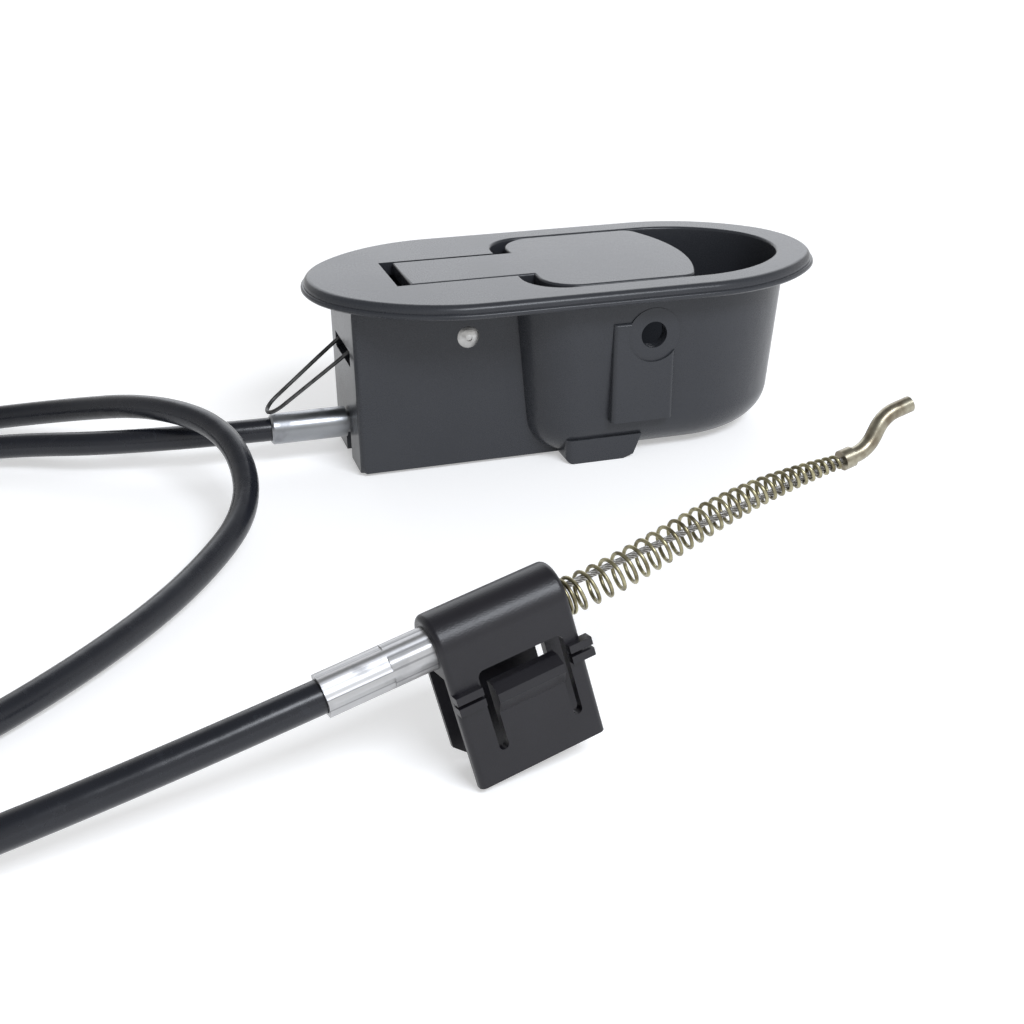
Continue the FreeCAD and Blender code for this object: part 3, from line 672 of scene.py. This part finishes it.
@dataclass
class CastHousing(SolidCopy):
    """The casting's copy, whose feet end in a short rounded toe and whose box has rounded end edges.

    Sizes are in millimetres and the crisp angle is in radians.
    """

    foot_front: float = 21.8
    foot_back: float = 12.8
    foot_top: float = 6.2
    flank: Point = (0.3426, 0.0, -0.9395)
    flank_match: float = 0.9995
    toe_at: Point = (16.9, 0.0, 0.9756)
    toe_out: Point = (0.930, 0.0, -0.368)
    toe_round: float = 1.6
    toe_segments: int = 5
    toe_corners: int = 4
    bowl_round: float = 11.0
    bowl_cuts: int = 5
    box_half: float = 14.2
    box_end: float = -47.0
    box_round: float = 1.3
    box_segments: int = 4
    crisp_angle: float = 1.0
    near: float = 0.01
    on_cut: float = 0.0025

    def shape(self, work: bmesh.types.BMesh) -> None:
        """Ends both feet in a toe and rounds the box's end.

        Args:
            work: The casting.
        """
        for side in (-1, 1):
            self.trim(work, side)
        self.ease_box(work)
        bmesh.ops.recalc_face_normals(work, faces=work.faces)

    def ease_box(self, work: bmesh.types.BMesh) -> None:
        """Rounds the two upright edges at the mechanism box's end.

        Args:
            work: The casting.
        """
        work.normal_update()
        convex = [e for e in work.edges if e.is_manifold and e.is_convex]
        crisp = [e for e in convex if e.calc_face_angle() > self.crisp_angle]
        upright = [e for e in crisp if all(self.on_box_corner(v.co) for v in e.verts)]
        bmesh.ops.bevel(work, geom=upright, offset=self.box_round * MM, segments=self.box_segments,
                        profile=0.5, affect="EDGES", material=-1, clamp_overlap=True)
        LOG.info("box edges rounded: %d", len(upright))

    def on_box_corner(self, spot: Vector) -> bool:
        """Whether a point is on one of the box's two end corners."""
        return abs(abs(spot.y) - self.box_half * MM) < self.near * MM and spot.x < self.box_end * MM

    def foot_skin(self, work: bmesh.types.BMesh, side: int) -> list[bmesh.types.BMFace]:
        """Finds the front, top and flank of one foot.

        Args:
            work: The casting.
            side: -1 for the near foot, 1 for the far one.

        Returns:
            Its faces.
        """
        work.normal_update()
        slack, found = self.near * MM, []
        height, back = self.foot_top * MM, self.foot_back * MM
        for face in work.faces:
            spots = [v.co for v in face.verts]
            if any(p.z > height + slack or p.y * side < back - slack for p in spots):
                continue
            front = all(abs(p.y * side - self.foot_front * MM) < slack for p in spots)
            top = all(abs(p.z - height) < slack for p in spots)
            if front or top or face.normal.dot(Vector(self.flank)) > self.flank_match:
                found.append(face)
        return found

    def trim(self, work: bmesh.types.BMesh, side: int) -> None:
        """Takes the long flank off one foot and closes the bowl behind it.

        Args:
            work: The casting.
            side: -1 for the near foot, 1 for the far one.
        """
        at, out = Vector(self.toe_at) * MM, Vector(self.toe_out).normalized()
        slack, height = self.near * MM, self.foot_top * MM
        skin = self.foot_skin(work, side)
        whole = skin + list(dict.fromkeys(e for f in skin for e in f.edges))
        whole += list(dict.fromkeys(v for f in skin for v in f.verts))
        bmesh.ops.bisect_plane(work, geom=whole, dist=CUT_DISTANCE, plane_co=at, plane_no=out)
        gone = [f for f in self.foot_skin(work, side) if (f.calc_center_median() - at).dot(out) > 0]
        edges = dict.fromkeys(e for f in gone for e in f.edges)
        rim = [e for e in edges if not set(e.link_faces) <= set(gone)]
        ends = {v for e in rim for v in e.verts if abs((v.co - at).dot(out)) < self.on_cut * MM}
        if len(ends) < self.toe_corners:
            LOG.warning("foot %d keeps its flank", side)
            return
        bmesh.ops.delete(work, geom=gone, context="FACES")
        floor = min(v.co.z for v in ends)
        top = sorted((v for v in ends if v.co.z > height - slack), key=lambda v: abs(v.co.y))
        low = sorted((v for v in ends if v.co.z < floor + slack), key=lambda v: -abs(v.co.y))
        front = sorted(ends - set(top) - set(low), key=lambda v: -v.co.z)
        work.faces.new(top + front + low)
        self.close_bowl(work, [e for e in rim if not set(e.verts) <= ends], top[0], low[-1])
        corner = [e for e in work.edges if {top[-1], low[0]} == set(e.verts)]
        if corner:
            bmesh.ops.bevel(work, geom=corner, offset=self.toe_round * MM, segments=self.toe_segments,
                            profile=0.5, affect="EDGES", material=-1)

    def close_bowl(self, work: bmesh.types.BMesh, rim: list[bmesh.types.BMEdge],
                   high: bmesh.types.BMVert, low: bmesh.types.BMVert) -> None:
        """Fills the hole behind a flank and rounds the fill like the bowl.

        Args:
            work: The casting.
            rim: The hole's edges on the bowl.
            high: The toe's upper corner on the bowl.
            low: The toe's lower corner on the bowl.
        """
        chord = work.edges.get((high, low))
        filled = bmesh.ops.triangle_fill(work, use_beauty=True, edges=rim + [chord])["geom"]
        patch = [g for g in filled if isinstance(g, bmesh.types.BMFace)]
        inner = [e for f in patch for e in f.edges if set(e.link_faces) <= set(patch)]
        inner = list(dict.fromkeys(inner + [chord]))
        middle = Vector(((high.co.y + low.co.y) / 2, (high.co.z + low.co.z) / 2))
        half = Vector(((high.co.y - low.co.y) / 2, (high.co.z - low.co.z) / 2))
        radius = self.bowl_round * MM
        inward = Vector((-half.y, half.x)).normalized()
        if inward.y < 0:
            inward.negate()
        centre = middle + inward * math.sqrt(radius ** 2 - half.length_squared)
        made = bmesh.ops.subdivide_edges(work, edges=inner, cuts=self.bowl_cuts)["geom_inner"]
        for vert in [g for g in made if isinstance(g, bmesh.types.BMVert)]:
            arm = (Vector((vert.co.y, vert.co.z)) - centre).normalized() * radius
            vert.co.y, vert.co.z = centre + arm


def round_line(name: str, points: list[Point], diameter: float, sides: int,
               steps: int) -> bpy.types.Curve:
    """Draws a round bar along a smooth line of points.

    Args:
        name: The curve's name.
        points: The line in metres.
        diameter: The bar's diameter in metres.
        sides: Bevel resolution.
        steps: Steps between two points of the line.

    Returns:
        The curve.
    """
    line = bpy.data.curves.new(name, "CURVE")
    line.dimensions = "3D"
    line.bevel_depth = diameter / 2
    line.bevel_resolution = sides
    line.resolution_u = steps
    line.use_fill_caps = True
    spline = line.splines.new("NURBS")
    spline.points.add(len(points) - 1)
    for place, point in zip(spline.points, points):
        place.co = (*point, 1.0)
    spline.order_u = 3
    spline.use_endpoint_u = True
    return line


@dataclass
class RoundWire:
    """Round wire along a line of points.

    Attributes:
        name: The piece's name.
        diameter: Wire diameter in metres.
        sides: Bevel resolution.
        steps: Steps between two points of the line.
        sharp_deg: Edges that turn by more than this stay crisp.
    """

    name: str
    diameter: float
    sides: int = 3
    steps: int = 2
    sharp_deg: float = 50.0

    def mesh(self, points: list[Point]) -> bpy.types.Object:
        """Sweeps the wire along the points and returns it as a mesh.

        Args:
            points: The wire's line in metres.

        Returns:
            The new object.
        """
        line = round_line(self.name + "_line", points, self.diameter, self.sides, self.steps)
        holder = bpy.data.objects.new(line.name, line)
        bpy.context.collection.objects.link(holder)
        bpy.context.view_layer.update()
        graph = bpy.context.evaluated_depsgraph_get()
        swept = bpy.data.meshes.new_from_object(holder.evaluated_get(graph))
        bpy.data.objects.remove(holder)
        bpy.data.curves.remove(line)
        swept.shade_smooth()
        swept.set_sharp_from_angle(angle=math.radians(self.sharp_deg))
        swept.name = self.name
        piece = bpy.data.objects.new(self.name, swept)
        bpy.context.collection.objects.link(piece)
        return piece


@dataclass
class TorsionSpring:
    """Double torsion spring on the pivot pin, whose loop leaves the window in the end wall.

    Sizes are in millimetres.
    """

    pivot: Point = (-23.475, 0.0, 33.2)
    wire: float = 1.0
    coil: float = 5.8
    gap: float = 3.4
    pitch: float = 1.06
    turns: int = 4
    segments: int = 20
    free_reach: float = 10.5
    free_z: float = 42.2
    free_bend: Range = (0.5, 1.8)
    window: Point = (-51.575, 5.7, 28.5)
    window_shift: float = 1.0
    leg_bend: Range = (7.0, 3.4)
    leg_inside: float = 3.0
    leg_outside: float = 1.0
    loop_tip: Point = (-70.675, 0.0, 14.4)
    loop_half: float = 3.8
    loop_steps: int = 6
    still_above: float = 3.4
    follows_above: float = 8.4

    def half(self, side: int) -> list[Point]:
        """Points of one half, from its free end to the loop's tip.

        Args:
            side: -1 for the near half, 1 for the far one.

        Returns:
            Points in millimetres.
        """
        inner, r = side * self.gap / 2, self.coil / 2
        px, _, pz = self.pivot
        back, up = self.free_bend
        points = [(px - self.free_reach, inner, self.free_z),
                  (px - self.free_reach * back, inner, pz + r * up)]
        steps = self.turns * self.segments + self.segments // 2
        for k in range(steps + 1):
            angle = math.pi / 2 - 2 * math.pi * k / self.segments
            y = inner + side * self.pitch * k / self.segments
            points.append((px + r * math.cos(angle), y, pz + r * math.sin(angle)))
        wx, wy, wz = self.window
        tx, _, tz = self.loop_tip
        slope = (wz - tz) / (wx - tx)
        leg_y = side * wy + self.window_shift
        points.append((wx + self.leg_bend[0], leg_y, wz + self.leg_bend[1]))
        points.append((wx + self.leg_inside, leg_y, wz + self.leg_inside * slope))
        points.append((wx - self.leg_outside, leg_y, wz - self.leg_outside * slope))
        for k in range(self.loop_steps):
            angle = math.pi / 2 * k / self.loop_steps
            along = self.loop_half * (1 - math.sin(angle))
            points.append((tx + along, side * self.loop_half * math.cos(angle), tz + along * slope))
        return points

    def place(self, finish: bpy.types.Material) -> bpy.types.Object:
        """Sweeps the spring, dresses it and lets its free ends follow the paddle.

        Args:
            finish: Its material.

        Returns:
            The spring.
        """
        line = self.half(-1) + [self.loop_tip] + self.half(1)[::-1]
        wire = RoundWire("return_spring_wire", self.wire * MM)
        piece = wire.mesh([tuple(v * MM for v in p) for p in line])
        piece.data.materials.append(finish)
        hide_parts("return_spring")
        px, _, pz = self.pivot
        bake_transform(piece, Body.BASE.value, Body.LEVER.value,
                 (px * MM, 0.0, (pz + self.still_above) * MM),
                 (px * MM, 0.0, (pz + self.follows_above) * MM))
        LOG.info("%s: %d faces", piece.name, len(piece.data.polygons))
        return piece


@dataclass
class ClipAxis:
    """The straight line of the clip, its spring and its hook, in millimetres."""

    origin: Point = (-65.775, -138.3, 24.5)
    along: Point = (0.96504, 0.17016, 0.19937)
    across: Point = (-0.13692, 0.97586, -0.17016)

    def at(self, s: float, y: float = 0.0, z: float = 0.0) -> Point:
        """Point at s along the axis, y across it and z up from it.

        Args:
            s: Distance along the axis.
            y: Distance across.
            z: Distance up.

        Returns:
            The point in metres.
        """
        u, n = Vector(self.along).normalized(), Vector(self.across).normalized()
        return tuple((Vector(self.origin) + u * s + n * y + u.cross(n) * z) * MM)

    def turn(self) -> Point:
        """Euler angles that turn X onto the axis."""
        u, n = Vector(self.along).normalized(), Vector(self.across).normalized()
        return tuple(Matrix((u, n, u.cross(n))).transposed().to_euler())


@dataclass
class TipCore(SolidCopy):
    """The far core's copy, shortened inside the clip so that it is drawn in without meeting the sheath.

    Sizes are in millimetres.
    """

    axis: ClipAxis = field(default_factory=ClipAxis)
    inner_end: float = 12.6

    def shape(self, work: bmesh.types.BMesh) -> None:
        """Cuts the core off square inside the clip and closes its end.

        Args:
            work: The core.
        """
        whole = work.verts[:] + work.edges[:] + work.faces[:]
        bmesh.ops.bisect_plane(work, geom=whole, dist=CUT_DISTANCE,
                               plane_co=self.axis.at(self.inner_end),
                               plane_no=Vector(self.axis.along).normalized(), clear_inner=True)
        bmesh.ops.holes_fill(work, edges=[e for e in work.edges if e.is_boundary], sides=0)
        bmesh.ops.recalc_face_normals(work, faces=work.faces)


@dataclass
class TaperSpring:
    """Tapered compression spring between the clip and the hook, closer wound towards the tip.

    Sizes are in millimetres.
    """

    axis: ClipAxis
    start: float = 24.45
    length: float = 59.1
    wire: float = 0.7
    big: float = 6.9
    small: float = 2.8
    turns: int = 30
    segments: int = 16
    dead_turns: int = 2
    dead_pitch: float = 0.85
    open_share: float = 1.30
    taper_power: float = 2.4
    sag: float = 2.1
    sag_start: float = 0.22
    sag_wave: float = 1.34
    still_before: float = 24.0
    follows_past: float = 84.0

    def line(self) -> list[Point]:
        """Lays out the wire's coils.

        Returns:
            Points in metres.
        """
        free_length = self.length - self.dead_turns * self.dead_pitch
        points = []
        for k in range(self.turns * self.segments + 1):
            turn, angle = k / self.segments, 2 * math.pi * k / self.segments
            dead = min(turn, self.dead_turns)
            free = (turn - dead) / (self.turns - self.dead_turns)
            drawn = self.open_share * free + (1 - self.open_share) * free * free
            x = dead * self.dead_pitch + free_length * drawn
            share = min(x / self.length, 1.0)
            r = (self.big + (self.small - self.big) * share ** self.taper_power - self.wire) / 2
            wave = math.sin(2 * math.pi * (share + self.sag_start) / self.sag_wave)
            dip = -self.sag * math.sqrt(1 - share) * wave
            across, up = r * math.cos(angle), r * math.sin(angle) + dip
            points.append(self.axis.at(self.start + x, across, up))
        return points

    def place(self, finish: bpy.types.Material) -> bpy.types.Object:
        """Sweeps the spring, dresses it and lets it close as the core is drawn in.

        Args:
            finish: Its material.

        Returns:
            The spring.
        """
        piece = RoundWire("taper_spring_wire", self.wire * MM).mesh(self.line())
        piece.data.materials.append(finish)
        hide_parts("cone_spring")
        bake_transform(piece, Body.BASE.value, Body.TIP.value,
                 self.axis.at(self.still_before), self.axis.at(self.follows_past))
        LOG.info("%s: %d faces", piece.name, len(piece.data.polygons))
        return piece


@dataclass
class PullCable:
    """The free outer sheath between the handle's ferrule and the clip's.

    Sizes are in millimetres.
    """

    axis: ClipAxis
    diameter: float = 5.8
    length: float = 909.0
    mouth: Point = (-70.2, 0.0, 9.6)
    lead_in: float = -48.0
    far_end: float = -5.0
    sides: int = 6
    steps: int = 16
    route: tuple[Point, ...] = (
        (-58.175, 0, 9.6), (-99.575, 0, 9.6), (-141.575, 23, 5), (-184.575, 18, 3),
        (-210.575, -20, 3), (-211.575, -69, 3), (-186.575, -108, 3), (-147.575, -115, 3.5),
        (-120.575, -93, 4), (-97.575, -68, 5), (-80.575, -43, 9.5), (-81.575, -18, 17.5),
        (-96.575, 5, 17.5), (-118.575, 29, 9.5), (-147.575, 44, 3.5), (-184.575, 46, 3),
        (-220.575, 28, 3), (-239.575, -11, 3), (-243.575, -57, 3), (-229.575, -104, 3),
        (-197.575, -138, 3), (-156.575, -150, 5.5),
    )

    def place(self, finish: bpy.types.Material,
              carried: list[bpy.types.Object]) -> bpy.types.Object:
        """Args:
            finish: Its material.
            carried: The pieces on its far end; not used.

        Returns:
            The sheath.
        """
        points = [tuple(v * MM for v in p) for p in self.route]
        points += [self.axis.at(self.lead_in), self.axis.at(self.far_end)]
        line = round_line("cable_sheath_cord", points, self.diameter * MM, self.sides, self.steps)
        line.materials.append(finish)
        piece = bpy.data.objects.new("cable_sheath_cord", line)
        bpy.context.collection.objects.link(piece)
        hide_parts("cable_sheath")
        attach(piece, Body.BASE.value)
        LOG.info("%s: %d route points", piece.name, len(points))
        return piece


@dataclass(frozen=True)
class SoftBox:
    """One rectangular soft box, with its place, aim and size in metres."""

    name: str
    at: Point
    aim: Point
    size: Range
    radiance: float
    tint: Colour = (0.95, 0.99, 1.06)

    def hang(self) -> None:
        """Puts the light in the scene."""
        lamp = bpy.data.lights.new(self.name, "AREA")
        lamp.shape = "RECTANGLE"
        lamp.size, lamp.size_y = self.size
        lamp.color = self.tint
        lamp.energy = self.radiance * math.pi * self.size[0] * self.size[1]
        holder = bpy.data.objects.new(self.name, lamp)
        holder.location = self.at
        towards = Vector(self.aim) - Vector(self.at)
        holder.rotation_euler = towards.to_track_quat("-Z", "Y").to_euler()
        bpy.context.collection.objects.link(holder)


@dataclass
class Studio:
    """White floor, soft light and the camera at the photograph's viewing angle."""

    eye: Point = (-0.115725, -0.3434, 0.1485)
    lens: float = 52.734
    nearest: float = 0.01
    down_deg: float = 25.3
    yaw_deg: float = -17.4
    floor_half: float = 3.0
    floor_glow: float = 0.48
    floor_rough: float = 0.9
    paper: Colour = (0.78, 0.78, 0.78)
    fibre: Colour = (0.80, 0.80, 0.80)
    fibre_scale: float = 900.0
    horizon: float = 0.95
    zenith: float = 0.30
    height_span: Range = (0.25, 0.85)
    left_share: float = 0.60
    left_span: Range = (-0.85, -0.1)
    boxes: tuple[SoftBox, ...] = (
        SoftBox("rear_box", (0.32, 1.05, 0.62), (0.0, 0.0, 0.05), (1.3, 0.9), 1.2),
        SoftBox("key_box", (0.164, -0.674, 0.722), (-0.03, -0.1, 0.03), (0.5, 0.26), 15.0),
    )

    def floor(self) -> bpy.types.Object:
        """Lays the white floor.

        Returns:
            The floor.
        """
        board = Board("white_paper")
        paper = board.tint(board.noise(self.fibre_scale, detail=3.0), self.paper, self.fibre)
        board.set(Base_Color=paper, Roughness=self.floor_rough, Emission_Color=paper,
                  Emission_Strength=self.floor_glow)
        work = bmesh.new()
        bmesh.ops.create_grid(work, x_segments=1, y_segments=1, size=self.floor_half)
        mesh = bpy.data.meshes.new("white_floor")
        work.to_mesh(mesh)
        work.free()
        mesh.materials.append(board.material)
        sheet = bpy.data.objects.new("white_floor", mesh)
        bpy.context.collection.objects.link(sheet)
        return sheet

    def sky(self) -> bpy.types.World:
        """Makes the room: bright walls under a darker ceiling.

        Returns:
            The world.
        """
        world = bpy.data.worlds.new("white_room")
        world.use_nodes = True
        graph = Graph(world.node_tree)
        way = graph.node("ShaderNodeTexCoord").outputs["Generated"]
        ray = graph.node("ShaderNodeSeparateXYZ", None, {0: way})
        up, across = Signal(graph, ray.outputs["Z"]), Signal(graph, ray.outputs["X"])
        level = graph.band(up, self.height_span, self.horizon, self.zenith)
        level = level * graph.band(across, self.left_span, self.left_share, 1.0)
        back = graph.node("ShaderNodeBackground", None,
                          {"Color": (1.0, 1.0, 1.0, 1.0), "Strength": level})
        out = graph.node("ShaderNodeOutputWorld")
        graph.feed(out.inputs["Surface"], back.outputs[0])
        return world

    def build(self) -> None:
        """Sets the world, the lights, the camera and the view."""
        self.floor()
        scene = bpy.context.scene
        scene.world = self.sky()
        for box in self.boxes:
            box.hang()
        eye = bpy.data.cameras.new("photo_view")
        eye.lens = self.lens
        eye.sensor_width = SENSOR_WIDTH
        eye.clip_start = self.nearest
        holder = bpy.data.objects.new("photo_view", eye)
        holder.location = self.eye
        holder.rotation_euler = (math.radians(90 - self.down_deg), 0.0,
                                 math.radians(self.yaw_deg))
        bpy.context.collection.objects.link(holder)
        scene.camera = holder
        scene.view_settings.view_transform = "Standard"


def main() -> None:
    """Builds every piece in order and reports each one."""
    logging.basicConfig(level=logging.INFO, format="%(message)s")
    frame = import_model()
    axis = ClipAxis()
    Studio().build()
    paint = SatinPaint().make()
    clip_zinc = TurnedZinc(
        "turned_zinc_clip", axis.turn(), tone=(0.50, 0.50, 0.505), deep=(0.27, 0.27, 0.275),
        gloss=0.34, origin=axis.at(0.0), pleats=10).make()
    handle_zinc = TurnedZinc(
        "turned_zinc_handle", WORLD_AXES, tone=(0.32, 0.33, 0.345), deep=(0.18, 0.185, 0.195),
        gloss=0.26).make()
    spring_steel = DrawnWire(
        "spring_steel_wire", tone=(0.12, 0.12, 0.12), deep=(0.06, 0.06, 0.06), gloss=0.34).make()
    olive_plate = DrawnWire(
        "olive_plated_wire", tone=(0.38, 0.35, 0.22), deep=(0.14, 0.12, 0.07), gloss=0.24).make()
    hook_bronze = DrawnWire(
        "bronzed_hook_metal", tone=(0.36, 0.335, 0.26), deep=(0.19, 0.16, 0.115), gloss=0.24).make()
    handle_core = StrandedCore("stranded_core_handle", WORLD_AXES).make()
    tip_core = StrandedCore("stranded_core_tip", axis.turn()).make()
    base, wire, tip = Body.BASE, Body.PULL_WIRE, Body.TIP
    CastHousing("housing", "housing_casting", base, Slot.SATIN_BLACK).place(frame, paint)
    SolidCopy("paddle", "lift_paddle", Body.LEVER, Slot.SATIN_BLACK).place(frame, paint)
    SolidCopy("pivot_pin", "pivot_rivet", base, Slot.BRIGHT_STEEL).place(frame, RivetSteel().make())
    TorsionSpring().place(spring_steel)
    SolidCopy("handle_ferrule", "handle_end_ferrule", base, Slot.ZINC).place(frame, handle_zinc)
    SolidCopy("cable_nipple", "cross_barrel", wire, Slot.ZINC).place(frame, handle_zinc)
    SolidCopy("pull_core", "handle_end_core", wire, Slot.CORE_WIRE).place(frame, handle_core)
    flats = SolidCopy("clip_ferrule", "crimped_ferrule", base, Slot.ZINC, sharp_deg=12.0)
    saddle = SolidCopy("anchor_clip", "saddle_clip", base, Slot.BLACK_NYLON)
    carried = [
        flats.place(frame, clip_zinc),
        saddle.place(frame, MouldedNylon().make()),
        TaperSpring(axis).place(olive_plate),
        TipCore("tip_core", "tip_end_core", tip, Slot.CORE_WIRE).place(frame, tip_core),
        SolidCopy("hook_tip", "hook_casting", tip, Slot.HOOK_METAL).place(frame, hook_bronze),
    ]
    PullCable(axis).place(GlossSheath().make(), carried)


if __name__ == "__main__":
    main()
